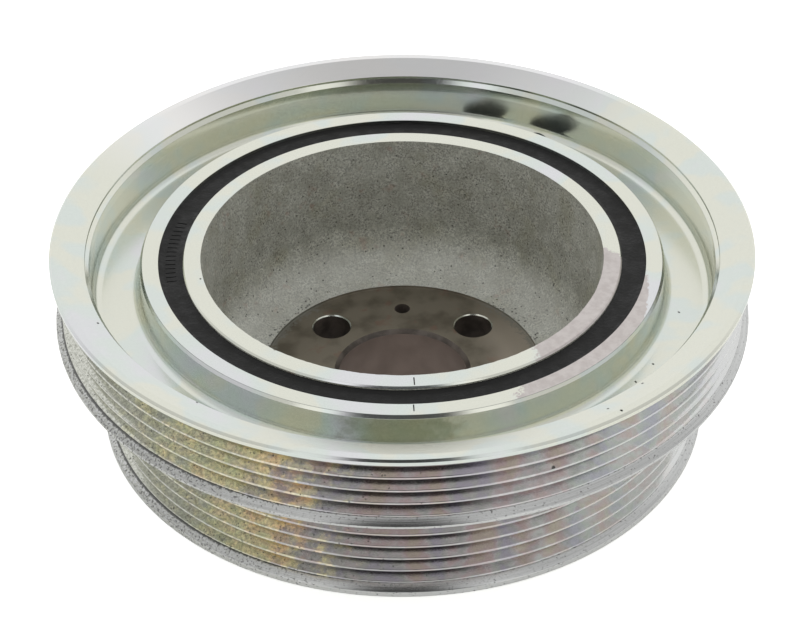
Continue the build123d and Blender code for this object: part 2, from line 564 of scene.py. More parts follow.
class Finish(Sheet):
    """Node tree of one finish, with the coordinates that its patterns use."""

    def __post_init__(self) -> None:
        """Measure the place on the piece in millimetres."""
        super().__post_init__()
        place = add_node(self.tree, "TexCoord").outputs["Object"]
        scaled = add_node(self.tree, "VectorMath", {0: place, "Scale": 1 / MM}, operation="SCALE")
        self.place = scaled.outputs[0]
        parts = add_node(self.tree, "SeparateXYZ", {0: self.place})
        self.x, self.y, self.z = (parts.outputs[i] for i in range(3))
        self.radius = self.either(self.from_axis(self.x, self.y), 0.01)
        self.east = self.math("DIVIDE", self.x, self.radius)
        self.north = self.math("DIVIDE", self.y, self.radius)
        self.angle = self.times(self.math("ARCTAN2", self.y, self.x), 180 / math.pi)

    def moved(self, operation: str, vector: tuple[float, float, float]) -> bpy.types.Node:
        """Add a node for an operation on the place on the piece and a vector, such as a shift."""
        return add_node(self.tree, "VectorMath", {0: self.place, 1: vector}, operation=operation)

    def noise(
        self, size: float, detail: float = 3.0, roughness: float = 0.5, shift: float = 0.0
    ) -> Socket:
        """Add an even noise from 0 to 1.

        Args:
            size: size of its patches, mm.
            detail: number of finer octaves.
            roughness: share of the finer octaves.
            shift: moves the pattern, so that two of them differ, mm.

        Returns:
            Its value.
        """
        place = self.moved("ADD", (shift, -shift, 0.5 * shift)).outputs[0]
        inputs = {"Vector": place, "Scale": 1 / size, "Detail": detail, "Roughness": roughness}
        return add_node(self.tree, "TexNoise", inputs).outputs[0]

    def swing(self, size: float, detail: float, roughness: float, reach: float) -> Socket:
        """Swing to both sides of zero, by up to a reach, in the patches of a noise."""
        return self.level(self.noise(size, detail, roughness), 0.3, 0.7, -reach, reach)

    def stained(self, colour: Socket, stain: str, size: float, shift: float, levels: Pair) -> Socket:
        """Stain a colour in soft patches, which start and are full at two levels of a noise."""
        patches = self.level(self.noise(size, detail=4.0, shift=shift), *levels, 0.0, 0.5)
        return self.mix(patches, colour, stain)

    def turning(self, across: float, along: float, reference: float = 70.0, detail: float = 3.0) -> Socket:
        """Add a noise drawn out round the axis, as a turning tool leaves it.

        Args:
            across: width of its lines, mm.
            along: length of its lines, mm, at the reference radius.
            reference: mm.
            detail: number of finer octaves.

        Returns:
            Its value, from 0 to 1.
        """
        stretch = reference / along
        inputs = {
            0: self.math("DIVIDE", self.radius, across),
            1: self.times(self.east, stretch),
            2: self.times(self.north, stretch),
        }
        vector = add_node(self.tree, "CombineXYZ", inputs).outputs[0]
        height = self.math("DIVIDE", self.z, across)
        inputs = {"Vector": vector, "W": height, "Scale": 1.0, "Detail": detail, "Roughness": 0.6}
        return add_node(self.tree, "TexNoise", inputs, noise_dimensions="4D").outputs[0]

    def sector(self, arc: Arc, wobble: Value = 0.0) -> Socket:
        """Mask a sector round the axis.

        Args:
            arc: its middle, half its width and the width of its soft edge.
            wobble: moves the edge, in shares of a unit.

        Returns:
            The mask, 1 inside.
        """
        middle, half, edge = arc
        across = self.times(self.east, math.cos(math.radians(middle)))
        facing = self.plus(self.north, math.sin(math.radians(middle)), across)
        facing = self.math("ADD", facing, wobble)
        outer = math.cos(math.radians(min(half + edge / 2, 180.0)))
        inner = math.cos(math.radians(max(half - edge / 2, 0.0)))
        return self.level(facing, outer, inner)

    def specks(self, cell: float, size: float, share: Value, shift: float = 0.0) -> Socket:
        """Scatter small round specks.

        Args:
            cell: distance between places where a speck may be, mm.
            size: radius of a speck, mm.
            share: share of the places that have one.
            shift: moves the pattern, mm.

        Returns:
            The mask, 1 in a speck.
        """
        inputs = {"Vector": self.moved("ADD", (shift, shift, shift)).outputs[0], "Scale": 1 / cell}
        cells = add_node(self.tree, "TexVoronoi", inputs)
        near = self.below(cells.outputs["Distance"], size / cell)
        chance = add_node(self.tree, "SeparateColor", {0: cells.outputs["Color"]}).outputs[0]
        return self.times(near, self.below(chance, share))

    def spots(self, marks: tuple[Mark, ...], size: float) -> Value:
        """Place single ragged specks.

        Args:
            marks: the specks' places.
            size: radius of a speck, mm.

        Returns:
            The mask, 1 in a speck.
        """
        mask = 0.0
        reach = self.level(self.noise(0.5), 0.3, 0.7, 0.5 * size, 1.2 * size)
        for radius, angle, height in marks:
            turn = math.radians(angle)
            middle = (radius * math.cos(turn), radius * math.sin(turn), height)
            away = self.moved("DISTANCE", middle).outputs["Value"]
            mask = self.either(self.below(away, reach), mask)
        return mask

    def bump(self, height: Value, depth: float) -> Socket:
        """Add a bump whose relief is so deep, mm."""
        inputs = {"Height": height, "Distance": depth * MM, "Strength": 1.0}
        return add_node(self.tree, "Bump", inputs).outputs[0]

    def fine_grain(self) -> Socket:
        """Add the fine grain that makes dirt ragged, alike in every finish."""
        return self.noise(0.5, detail=2.0, roughness=0.6, shift=40.0)

    def surface(
        self,
        colour: Socket,
        metallic: Value,
        roughness: Value,
        normal: Socket | None = None,
        specular: float = 0.5,
    ) -> bpy.types.Material:
        """Close the tree with its shader.

        Args:
            colour: base colour.
            metallic: share of metal.
            roughness: from a mirror, 0, to matt, 1.
            normal: the bump's normal.
            specular: strength of the reflection off what isn't metal.

        Returns:
            The finished material.
        """
        inputs = {"Base Color": colour, "Metallic": metallic, "Roughness": roughness}
        inputs["Specular IOR Level"] = specular
        if normal is not None:
            inputs["Normal"] = normal
        shader = add_node(self.tree, "BsdfPrincipled", inputs)
        add_node(self.tree, "OutputMaterial", {"Surface": shader.outputs[0]})
        return self.owner


class Slot(Enum):
    """The record's material slots."""

    HUB = "cast_hub"
    RUBBER = "bonded_rubber"
    RING = "plated_ring"


# --------------------------------------------------------------------------- finishes
@dataclass(frozen=True)
class TurnedZincPlate:
    """Bright zinc plating on fine-turned steel.

    A smooth, near-mirror film whose tint shifts from cream to mint and lavender. Painted shade dulls the
    front of the channel's inner wall, and a painted highlight pales the back of the rim's land.

    Args:
        marks: single black specks.
    """

    cream: str = "#DEDFD3"
    mint: str = "#D7DED9"
    lavender: str = "#DBDCDE"
    # painted shade: the colour that dulls the front of the channel's inner wall
    dull: str = "#C9C9B8"
    # painted highlight: the paler film colour painted on the back of the rim's land
    painted_light: str = "#EDEBED"
    # colours of the pinkish-grey sector beside the rubber
    pinkish_dark: str = "#BEB7B4"
    pinkish_light: str = "#CBC5C2"
    pit: str = "#23221F"
    marks: tuple[Mark, ...] = ()
    patch: float = 22.0
    roughness: float = 0.12
    channel_top: float = 51.6
    channel_roughness: float = 0.1  # more than on the faces
    wall_foot: float = 45.5         # where the channel's inner wall starts
    wall_outside: float = 63.3      # largest radius of that wall
    # sector of the painted shade at the front of the channel's inner wall
    painted_shade_arc: Arc = (-91.0, 9.5, 9.0)
    land_inside: float = 75.4       # smallest radius of the rim's land
    # sector and strength of the painted highlight on the land
    painted_light_arc: Arc = (100.0, 45.0, 35.0)
    painted_light_share: float = 0.75
    pinkish_outside: float = 62.0      # largest radius of the pinkish sector
    pinkish_start: tuple[Stretch, ...] = ((48.0, 58.0, 0.0, -9.6), (58.0, 62.6, 0.0, -17.0))
    pinkish_end: Stretch = (48.0, 62.0, -52.0, -66.0)

    def build(self, name: str = "turned_zinc_plate") -> bpy.types.Material:
        """Make the material."""
        finish = Finish(bpy.data.materials.new(name))
        tints = (
            (0.32, self.lavender),
            (0.44, self.mint),
            (0.52, self.cream),
            (0.6, self.cream),
            (0.7, self.mint),
        )
        film = finish.ramp(finish.noise(self.patch), tints)
        grain = finish.noise(0.5, detail=2.0)
        film = finish.mix(1.0, film, finish.grey(finish.level(grain, 0.25, 0.75, 0.965, 1.0)), "MULTIPLY")
        pinkish = self.pinkish_sector(finish)
        blotch = finish.noise(2.0, detail=5.0, roughness=0.7)
        film = finish.mix(pinkish, film, finish.ramp(blotch, ((0.35, self.pinkish_dark), (0.65, self.pinkish_light))))
        # painted shade at the front of the channel's inner wall
        film = finish.mix(self.painted_shade_at_front(finish), film, self.dull, "MULTIPLY")
        # painted highlight at the back of the rim's land
        film = finish.mix(self.painted_highlight_at_back(finish), film, self.painted_light)
        pits = finish.specks(cell=9.0, size=0.25, share=0.08, shift=21.0)
        film = finish.mix(finish.either(pits, finish.spots(self.marks, 0.34)), film, self.pit)
        rough = finish.level(grain, 0.2, 0.8, self.roughness - 0.03, self.roughness + 0.04)
        rough = finish.plus(pinkish, 0.2, rough)
        rough = finish.plus(finish.below(finish.z, self.channel_top), self.channel_roughness, rough)
        return finish.surface(film, 1.0, rough, finish.bump(grain, 0.002))

    def painted_shade_at_front(self, finish: Finish) -> Value:
        """Mask the painted shade at the front of the channel's inner wall: a duller, more olive film where
        the wall faces the camera.
        """
        front = finish.sector(self.painted_shade_arc, finish.swing(3.0, 3.0, 0.5, 0.006))
        inner = finish.below(finish.radius, self.wall_outside)
        above = finish.below(self.wall_foot, finish.z)
        return finish.times(front, inner, above, finish.below(finish.z, self.channel_top))

    def painted_highlight_at_back(self, finish: Finish) -> Value:
        """Mask the painted highlight at the back of the rim's land, where the film is painted paler."""
        land = finish.below(self.land_inside, finish.radius)
        return finish.times(finish.sector(self.painted_light_arc), land, self.painted_light_share)

    def pinkish_sector(self, finish: Finish) -> Value:
        """Mask the pinkish-grey, rougher sector of the faces beside the rubber.

        Its ends slant across the faces, so they are angles that depend on the radius.
        """
        ragged = finish.swing(1.6, 6.0, 0.8, 2.0)
        start = ragged
        for stretch in self.pinkish_start:
            start = finish.math("ADD", finish.level(finish.radius, *stretch), start)
        end = finish.math("ADD", finish.level(finish.radius, *self.pinkish_end), ragged)
        after = finish.level(finish.math("SUBTRACT", start, finish.angle), 0.0, 0.5)
        before = finish.level(finish.math("SUBTRACT", finish.angle, end), 0.0, 0.5)
        return finish.times(after, before, finish.below(finish.radius, self.pinkish_outside))


@dataclass(frozen=True)
class CreaseDirtAndShade:
    """Dark line in the creases at the lower flanges, part dirt and part painted shade, with an edge that a
    fine grain makes ragged.

    Args:
        heights: heights of the creases, mm.
        ragged: how far the grain moves the line's edge, mm.
        on_dirty_side: how much further it reaches on the dirty side, mm.
        reach: how far it reaches without either, mm.
        cover: share of the film that it covers.
        edge: width of its soft edge, mm.
    """

    heights: tuple[float, ...]
    ragged: float
    on_dirty_side: float
    reach: float
    cover: float
    edge: float = 0.14

    def add(self, finish: Finish, dark: Value, fine: Socket, dirty: Socket) -> Value:
        """Add the dark line, part dirt and part painted shade, to a mask.

        Args:
            finish: the material's tree.
            dark: the mask so far.
            fine: the fine grain.
            dirty: mask of the dirty side.

        Returns:
            The mask with the dirt.
        """
        for height in self.heights:
            away = finish.math("ABSOLUTE", finish.math("SUBTRACT", finish.z, height))
            reach = finish.plus(fine, self.ragged, finish.plus(dirty, self.on_dirty_side, self.reach))
            line = finish.level(finish.math("SUBTRACT", reach, away), 0.0, self.edge)
            dark = finish.either(dark, finish.times(line, self.cover))
        return dark


@dataclass(frozen=True)
class GroovedZinc:
    """Zinc plating on the belt tracks: smooth, stained like a thin oil film, gritty on one side.

    Each groove shows its film two or three times over, so the tints are pale.

    Args:
        creases: heights of the creases at the lower flanges, where a dark line of dirt and painted shade is
            drawn, mm.
        marks: single black specks.
    """

    olive: str = "#D8D9D0"
    straw: str = "#E6E4CB"
    gold: str = "#F1E7CD"
    mauve: str = "#CDCACB"
    grey: str = "#DADBDA"
    soil: str = "#A0A197"
    # colour of the dirt and of the painted shade in the creases
    dirt_and_shade: str = "#1D1D19"
    shimmer: tuple[Stop, ...] = (
        (0.38, "#F4F4FB"),
        (0.45, "#F6FAF6"),
        (0.5, "#FFFFFF"),
        (0.56, "#FDF3F3"),
        (0.64, "#FCF7EE"),
    )
    creases: tuple[float, ...] = ()
    marks: tuple[Mark, ...] = ()
    streak: float = 6.0             # width of the tinted streaks across the ribs, mm
    shimmer_arc: Arc = (-84.0, 48.0, 30.0)
    dirty_arc: Arc = (192.0, 58.0, 60.0)
    roughness: float = 0.12

    def build(self, name: str = "grooved_zinc") -> bpy.types.Material:
        """Make the material."""
        finish = Finish(bpy.data.materials.new(name))
        drift = finish.swing(5.0, 5.0, 0.65, 0.035)
        turn = finish.math("ADD", finish.plus(finish.angle, 1 / 360, 0.5), drift)
        tints = (
            (0.0, self.olive),
            (0.115, self.olive),
            (0.15, self.straw),
            (0.172, self.gold),
            (0.188, self.gold),
            (0.208, self.mauve),
            (0.29, self.mauve),
            (0.35, self.grey),
            (0.9, self.grey),
            (1.0, self.olive),
        )
        film = finish.ramp(turn, tints)
        upright = finish.moved("MULTIPLY", (1.0, 1.0, 0.3)).outputs[0]
        inputs = {"Vector": upright, "Scale": 1 / self.streak, "Detail": 4.0}
        streaks = add_node(finish.tree, "TexNoise", inputs).outputs[0]
        film = finish.mix(
            finish.sector(self.shimmer_arc), film, finish.ramp(streaks, self.shimmer), "MULTIPLY"
        )
        dirty = finish.sector(self.dirty_arc)
        blotch = finish.level(finish.noise(0.7, detail=4.0, roughness=0.75, shift=20.0), 0.38, 0.64)
        soiled = finish.times(blotch, finish.plus(dirty, 0.7, 0.05))
        film = finish.mix(soiled, film, self.soil)
        grain = finish.noise(0.4, detail=3.0, roughness=0.7)
        film = finish.mix(1.0, film, finish.grey(finish.level(grain, 0.3, 0.7, 0.93, 1.0)), "MULTIPLY")
        dark = self.dark_spots(finish, dirty)
        film = finish.mix(dark, film, self.dirt_and_shade)
        metal = finish.plus(dark, -0.8, 1.0)
        rough = finish.level(grain, 0.3, 0.7, self.roughness - 0.02, self.roughness + 0.04)
        rough = finish.plus(soiled, 0.15, rough)
        return finish.surface(film, metal, rough, finish.bump(grain, 0.003))

    def dark_spots(self, finish: Finish, dirty: Socket) -> Value:
        """Mask the dirt and painted shade: fine grains on one side, a thin line in each crease that is part
        dirt and part painted shade, and single pits.

        Args:
            finish: the material's tree.
            dirty: mask of the dirty side.

        Returns:
            The mask.
        """
        heaps = finish.level(finish.noise(2.2, detail=3.0, shift=-30.0), 0.38, 0.62, 0.04, 0.45)
        grains = finish.specks(cell=0.7, size=0.19, share=finish.times(dirty, heaps), shift=4.0)
        # the crease line is part dirt and part painted shade
        crease_dirt_and_shade = CreaseDirtAndShade(self.creases, ragged=0.6, on_dirty_side=0.22, reach=-0.2, cover=0.8)
        dark = crease_dirt_and_shade.add(finish, finish.times(grains, 0.7), finish.fine_grain(), dirty)
        single = finish.specks(cell=7.0, size=0.22, share=0.25, shift=15.0)
        return finish.either(dark, finish.spots(self.marks, 0.5), single)


@dataclass(frozen=True)
class BrushedZinc:
    """Zinc plating on the flanges' edges: turned coarser, so it draws the lamps out into streaks.

    Args:
        creases: heights of the creases above the flanges, where a dark line of dirt and painted shade is
            drawn, mm.
    """

    body: str = "#CBCCCB"
    line: str = "#BBBCBB"
    soil: str = "#A3A49B"
    # colour of the dirt and of the painted shade in the creases
    dirt_and_shade: str = "#1D1D19"
    creases: tuple[float, ...] = ()
    dirty_arc: Arc = (188.0, 50.0, 60.0)
    roughness: float = 0.19

    def build(self, name: str = "brushed_zinc") -> bpy.types.Material:
        """Make the material."""
        finish = Finish(bpy.data.materials.new(name))
        lines = finish.turning(across=0.22, along=25.0)
        film = finish.ramp(lines, ((0.35, self.line), (0.6, self.body)))
        fine = finish.fine_grain()
        dirty = finish.sector(self.dirty_arc)
        cloud = finish.level(finish.noise(0.8, detail=4.0, roughness=0.7, shift=12.0), 0.35, 0.65)
        film = finish.mix(finish.times(dirty, cloud, 0.65), film, self.soil)
        dark = finish.times(finish.level(finish.plus(dirty, 0.08, fine), 0.63, 0.67), 0.6)
        # the crease line is part dirt and part painted shade
        crease_dirt_and_shade = CreaseDirtAndShade(self.creases, ragged=0.8, on_dirty_side=0.3, reach=-0.36, cover=0.75)
        dark = crease_dirt_and_shade.add(finish, dark, fine, dirty)
        film = finish.mix(dark, film, self.dirt_and_shade)
        metal = finish.plus(dark, -0.8, 1.0)
        rough = finish.level(lines, 0.3, 0.7, self.roughness - 0.04, self.roughness + 0.06)
        return finish.surface(film, metal, rough, finish.bump(lines, 0.0025))


def ragged_sides(finish: Finish) -> Value:
    """Mask both sides of the cup, where the spot face runs out raggedly into the cast skin."""
    return finish.either(finish.sector((-10.0, 62.0, 14.0)), finish.sector((190.0, 62.0, 14.0)))


@dataclass(frozen=True)
class SandCastIron:
    """Grey iron as it leaves the sand mould: dull and grainy, with olive and brown stains. Painted light
    makes it lighter towards the fillet at the foot, and painted shade darkens the upper wall.
    """

    light: str = "#DADBD0"
    dark: str = "#C8C8BC"
    olive: str = "#BDBBA3"
    rust: str = "#BC9C8B"
    even: str = "#D6D6D4"           # shade where the grain is faint
    # painted light: the lighter colour painted on the fillet at the cup's foot, which faces the light
    foot: str = "#E6E7E1"
    # painted shade: the darker colour painted on the upper wall
    skin: str = "#55544E"
    chip: str = "#3A3A35"
    pit: str = "#2E2D2A"
    grit: float = 0.5
    upper_shade_height: float = 27.6       # the painted shade of the upper wall starts here

    def build(self) -> bpy.types.Material:
        """Make the material."""
        finish = Finish(bpy.data.materials.new("sand_cast_iron"))
        body = finish.ramp(finish.noise(6.0, detail=4.0), ((0.35, self.dark), (0.65, self.light)))
        body = finish.stained(body, self.olive, size=8.0, shift=60.0, levels=(0.5, 0.7))
        body = finish.stained(body, self.rust, size=3.5, shift=-80.0, levels=(0.62, 0.74))
        grain = finish.noise(self.grit, detail=3.0, roughness=0.75)
        patchy = finish.level(finish.noise(2.6, detail=4.0, roughness=0.7, shift=35.0), 0.38, 0.6, 0.4, 1.0)
        grit = finish.mix(patchy, self.even, finish.grey(finish.level(grain, 0.38, 0.6, 0.4, 1.0)))
        body = finish.mix(1.0, body, grit, "MULTIPLY")
        # painted light: lighter towards the fillet at the cup's foot
        body = finish.mix(finish.level(finish.z, 19.0, 27.0, 0.32, 0.0), body, self.foot)
        # painted shade: the upper wall is darkened above a wavy height
        height = finish.math("ADD", finish.z, finish.swing(4.0, 5.0, 0.7, 1.6))
        skin = finish.level(height, self.upper_shade_height - 0.5, self.upper_shade_height + 0.5)
        body = finish.mix(finish.times(skin, 0.16), body, self.skin)
        rim = finish.times(ragged_sides(finish), finish.level(finish.radius, 38.5, 35.5))
        chips = finish.specks(cell=1.0, size=0.34, share=finish.times(rim, 0.8), shift=9.0)
        body = finish.mix(finish.times(chips, 0.7), body, self.chip)
        pits = finish.specks(cell=1.6, size=0.24, share=0.4)
        body = finish.mix(finish.times(pits, 0.75), body, self.pit)
        return finish.surface(body, 0.1, 0.55, finish.bump(grain, 0.1))


@dataclass(frozen=True)
class SpotFacedIron:
    """Cast iron cut flat by a spot facer or a boring bar: dark, oily and stained, with a painted pool of
    light on its right.
    """

    body: str = "#878072"
    shadow: str = "#6E675A"
    stain: str = "#86685A"
    bore: str = "#8D7F77"
    # painted light: the paler colour of the pool of light painted on the floor's right
    painted_light: str = "#B0A698"
    skin: str = "#8E8E86"
    # sector of the painted pool of light
    painted_light_arc: Arc = (-15.0, 50.0, 50.0)
    bore_radius: float = 16.05

    def uncut(self, finish: Finish) -> Value:
        """Mask what is left of the grey casting skin along the edge of the cut, at the sides."""
        edge = finish.math("ADD", finish.radius, finish.swing(1.6, 5.0, 0.75, 1.5))
        return finish.times(finish.level(edge, 33.0, 34.2), ragged_sides(finish), 0.75)

    def build(self) -> bpy.types.Material:
        """Make the material."""
        finish = Finish(bpy.data.materials.new("spot_faced_iron"))
        cloud = finish.noise(6.0)
        colour = finish.ramp(cloud, ((0.3, self.shadow), (0.6, self.body)))
        colour = finish.stained(colour, self.stain, size=4.0, shift=30.0, levels=(0.58, 0.72))
        # painted light: a pool of light painted on the right of the floor, beyond 20 mm from the axis
        lit = finish.times(finish.sector(self.painted_light_arc), finish.level(finish.radius, 20.0, 28.0))
        colour = finish.mix(lit, colour, self.painted_light)
        colour = finish.mix(self.uncut(finish), colour, self.skin)
        in_bore = finish.below(finish.radius, self.bore_radius)
        colour = finish.mix(in_bore, colour, self.bore)
        rough = finish.plus(in_bore, 0.1, finish.level(cloud, 0.3, 0.7, 0.42, 0.55))
        return finish.surface(colour, 0.7, rough, finish.bump(finish.noise(0.6, detail=2.0), 0.01))


@dataclass(frozen=True)
class DrilledIronWithPaintedShade:
    """Freshly drilled or scribed iron, painted dark: its black is painted shade for the drillings, holes and
    lines.
    """

    body: str
    # the darker patches of the painted shade
    oil: str

    def build(self, name: str = "drilled_iron_painted_dark") -> bpy.types.Material:
        """Make the material."""
        finish = Finish(bpy.data.materials.new(name))
        colour = finish.ramp(finish.noise(4.0), ((0.35, self.oil), (0.65, self.body)))
        return finish.surface(colour, 0.15, finish.level(finish.noise(0.3), 0.3, 0.7, 0.35, 0.5))


@dataclass(frozen=True)
class MouldedRubber:
    """Black nitrile rubber from a steel mould: satin, with a mottled bloom."""

    body: str = "#050505"
    bloom: str = "#161615"
    specular: float = 0.26

    def build(self) -> bpy.types.Material:
        """Make the material."""
        finish = Finish(bpy.data.materials.new("moulded_rubber"))
        cloud = finish.noise(2.4, detail=4.0)
        colour = finish.ramp(cloud, ((0.35, self.body), (0.7, self.bloom)))
        normal = finish.bump(finish.noise(0.9, detail=3.0, roughness=0.6), 0.12)
        return finish.surface(colour, 0.0, finish.level(cloud, 0.3, 0.7, 0.36, 0.6), normal, self.specular)


# --------------------------------------------------------------------------- pieces
def dress(piece: bpy.types.Object, node: str, materials: list[bpy.types.Material]) -> None:
    """Give a piece its finishes and let it stand for its CAD node.

    Args:
        piece: the finished mesh.
        node: the CAD node that it replaces.
        materials: its materials; the first covers all faces.
    """
    piece.data.materials.clear()
    for material in materials:
        piece.data.materials.append(material)
    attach(piece, "root")
    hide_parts(node)
    log.info("%s: %d faces, stands for %s", piece.name, len(piece.data.polygons), node)


def assign(piece: bpy.types.Object, tests: dict[int, Callable[[Face], bool]]) -> None:
    """Give some faces of a piece another of its materials than the first.

    Args:
        piece: the piece.
        tests: for the number of a material, what tells its faces; a later one outdoes an earlier one.
    """
    for face in piece.data.polygons:
        for index, chosen in tests.items():
            if chosen(face):
                face.material_index = index


def place_of(spot: Vector) -> Point:
    """Measure the radius and height of a spot on a piece, mm."""
    return math.hypot(spot.x, spot.y) / MM, spot.z / MM


@dataclass
class PulleyRing:
    """The heavy ring with two belt tracks, a dished rim and a channel."""

    envelope: Envelope
    inner_radius: float = 58.2
    face_drop: float = 5.15
    land: float = 2.2
    dish_width: float = 5.95
    dish_drop: float = 2.2
    dish_step: float = 0.6          # upright between the dish and the bevel
    bevel: float = 0.9
    face_chamfer: Pair = (0.55, 0.75)
    wall_shift: float = 0.4         # the channel's inner wall stands this far in at its top
    inner_land: float = 4.8
    channel_depth: float = 8.6
    channel_fillet: float = 2.4
    bottom_flange: float = 3.5
    track_shoulder: float = 4.7
    middle_flange: float = 2.7
    step: float = 9.3               # from the upper track's flanges in to the lower track's
    edge_chamfer: float = 0.4
    lip_chamfer: float = 0.45
    balance_drill: float = 10.0
    balance_depth: float = 5.0
    balance_angles: Pair = (60.3, 73.8)
    drill_point: float = 118.0      # angle of the drill's tip
    scribe_angle: float = -87.8
    steps: int = 384
    face_marks: tuple[Mark, ...] = (
        (76.5, -154.7, 55.8),
        (73.4, -159.4, 44.6),
        (75.7, -126.3, 55.5),
        (66.7, -30.5, 43.9),
        (66.5, -37.3, 43.9),
        (66.9, -12.1, 43.9),
        (76.5, -46.8, 55.8),
        (78.9, -56.1, 56.7),
        (81.9, -55.2, 57.6),
    )
    track_marks: tuple[Mark, ...] = (
        (81.2, -50.3, 52.8),
        (81.2, -50.8, 46.0),
        (81.2, -66.1, 50.7),
        (81.2, -27.3, 49.6),
    )

    def __post_init__(self) -> None:
        """Work out the tracks from the ring's envelope."""
        rise = BeltTrack.flange_rise
        outer = self.envelope.radius
        self.lower = BeltTrack(outer - self.step - rise, self.envelope.bottom + self.bottom_flange, 6)
        self.flange_z = self.lower.high + self.track_shoulder
        self.upper = BeltTrack(outer - rise, self.flange_z + self.middle_flange, 4)
        self.face_z = self.envelope.top - self.face_drop
        self.channel_z = self.face_z - self.channel_depth
        self.dish = outer - self.land
        self.bevel_radius = self.dish - self.dish_width
        self.channel_outer = self.bevel_radius - self.bevel
        self.channel_inner = self.inner_radius + self.inner_land

    def corners(self) -> list[Corner]:
        """Go round the ring's section, up the tracks and back over the rim.

        Returns:
            Its corners.
        """
        outer, top, bottom = self.envelope.radius, self.envelope.top, self.envelope.bottom
        lower, edge = self.lower.flange, self.edge_chamfer
        return [
            Corner(self.inner_radius, bottom, 0.3),
            Corner(lower - edge, bottom, 0.15),
            Corner(lower, bottom + edge, 0.15),
            *self.lower.corners(),
            Corner(lower, self.flange_z, 0.5),
            Corner(outer - edge, self.flange_z, 0.15),
            Corner(outer, self.flange_z + edge, 0.1),
            *self.upper.corners(),
            Corner(outer, top - self.lip_chamfer, 0.08),
            Corner(outer - 1.2 * self.lip_chamfer, top, 0.08),
            Corner(self.dish, top, 0.6),
            Corner(self.bevel_radius, top - self.dish_drop, 0.12),
            Corner(self.bevel_radius, top - self.dish_drop - self.dish_step, 0.08),
            Corner(self.channel_outer, top - self.dish_drop - self.dish_step - self.bevel, 0.15),
            Corner(self.channel_outer, self.channel_z, self.channel_fillet),
            Corner(self.channel_inner, self.channel_z, self.channel_fillet),
            Corner(self.channel_inner - self.wall_shift, self.face_z - self.face_chamfer[1], 0.15),
            Corner(self.channel_inner - self.wall_shift - self.face_chamfer[0], self.face_z, 0.12),
            Corner(self.inner_radius, self.face_z, 0.12),
        ]

    def balance_tools(self) -> list[bpy.types.Object]:
        """Make the drills of the two balance drillings.

        Returns:
            Their solids.
        """
        radius = self.balance_drill / 2
        start = self.channel_z + self.channel_fillet
        foot = self.channel_z - self.balance_depth
        tip = foot - radius / math.tan(math.radians(self.drill_point / 2))
        tool = [(0.0, tip), (radius, foot), (radius, start + 1.0), (0.0, start + 1.0)]
        middle = (self.channel_inner + self.channel_outer) / 2
        return [
            drill(f"balance_drill_{number}", tool, middle, angle)
            for number, angle in enumerate(self.balance_angles)
        ]

    def build(self) -> bpy.types.Object:
        """Turn, drill, mark and dress the ring."""
        ring = turn_piece("pulley_ring_turned", section(self.corners()), self.steps)
        start, end = self.inner_radius + 0.3, self.channel_inner - 2.2
        mark = scriber("ring_scriber", start, end, self.scribe_angle, self.face_z)
        cut_out(ring, [*self.balance_tools(), mark])
        finish_normals(ring)
        self.paint(ring)
        return ring

    def paint(self, ring: bpy.types.Object) -> None:
        """Dress the ring: bright on top, stained in the tracks, with painted shade in the drillings."""
        creases = (self.lower.crease_height, self.upper.crease_height)
        materials = [
            TurnedZincPlate(marks=self.face_marks).build(),
            GroovedZinc(creases=creases, marks=self.track_marks).build(),
            DrilledIronWithPaintedShade(body="#7A7E7B", oil="#5A5F5C").build(),
            BrushedZinc(creases=creases).build(),
        ]
        dress(ring, "pulley_ring", materials)
        assign(ring, {1: self.is_outside, 3: self.is_flange, 2: self.is_drilled})

    def is_flange(self, face: Face) -> bool:
        """Tell whether a face is on the outside of a lower flange."""
        radius, height = place_of(face.center)
        return any(
            radius > track.crest - 0.1 and track.low - 4.0 < height < track.low - track.crease
            for track in (self.lower, self.upper)
        )

    def is_outside(self, face: Face) -> bool:
        """Tell whether a face is on the ring's outside, below the lip."""
        radius, height = place_of(face.center)
        return radius > self.lower.crest - self.lower.depth - 0.3 and height < self.upper.high + 1.2 and (
            height < self.channel_z - 0.1 or radius > self.upper.crest - self.upper.depth - 0.3
        )

    def is_drilled(self, face: Face) -> bool:
        """Tell whether a face is in a balance drilling or the scribed line."""
        radius, height = place_of(face.center)
        drilled = self.channel_inner < radius < self.channel_outer and height < self.channel_z - 0.02
        above_bottom = height > self.channel_z - self.balance_depth - 4.0
        scribed = radius < self.channel_inner - 0.9 and self.face_z - 0.6 < height < self.face_z - 0.01
        return (drilled and above_bottom) or (scribed and radius > self.inner_radius + 0.2)


@dataclass
class RubberRing:
    """The rubber sleeve between hub and ring, with a shallow sink along its top."""

    envelope: Envelope
    inner_radius: float = 52.5
    sink: float = 0.35
    lip: float = 0.22               # share of the width that rises to either edge
    lip_rounding: float = 1.2
    ticks: int = 15
    tick_from: float = 166.0        # degrees from +X
    tick_to: float = 191.0
    tick_length: float = 2.4
    steps: int = 384

    def tick_tools(self) -> list[bpy.types.Object]:
        """Make the row of small bars that the mould presses into the rubber.

        Returns:
            Their solids.
        """
        spacing = (self.tick_to - self.tick_from) / (self.ticks - 1)
        start = (self.inner_radius + self.envelope.radius - self.tick_length) / 2
        end = start + self.tick_length
        top = self.envelope.top - self.sink
        return [
            scriber(f"mould_bar_{number}", start, end, self.tick_from + spacing * number, top)
            for number in range(self.ticks)
        ]

    def build(self) -> bpy.types.Object:
        """Turn, mark and dress the rubber."""
        outer, top, bottom = self.envelope.radius, self.envelope.top, self.envelope.bottom
        inner = self.inner_radius
        width = outer - inner
        corners = [
            Corner(inner, bottom),
            Corner(outer, bottom),
            Corner(outer, top),
            Corner(outer - self.lip * width, top - self.sink, self.lip_rounding),
            Corner(inner + self.lip * width, top - self.sink, self.lip_rounding),
            Corner(inner, top),
        ]
        sleeve = turn_piece("rubber_sleeve", section(corners), self.steps)
        cut_out(sleeve, self.tick_tools())
        finish_normals(sleeve)
        dress(sleeve, "rubber_ring", [MouldedRubber().build()])
        return sleeve


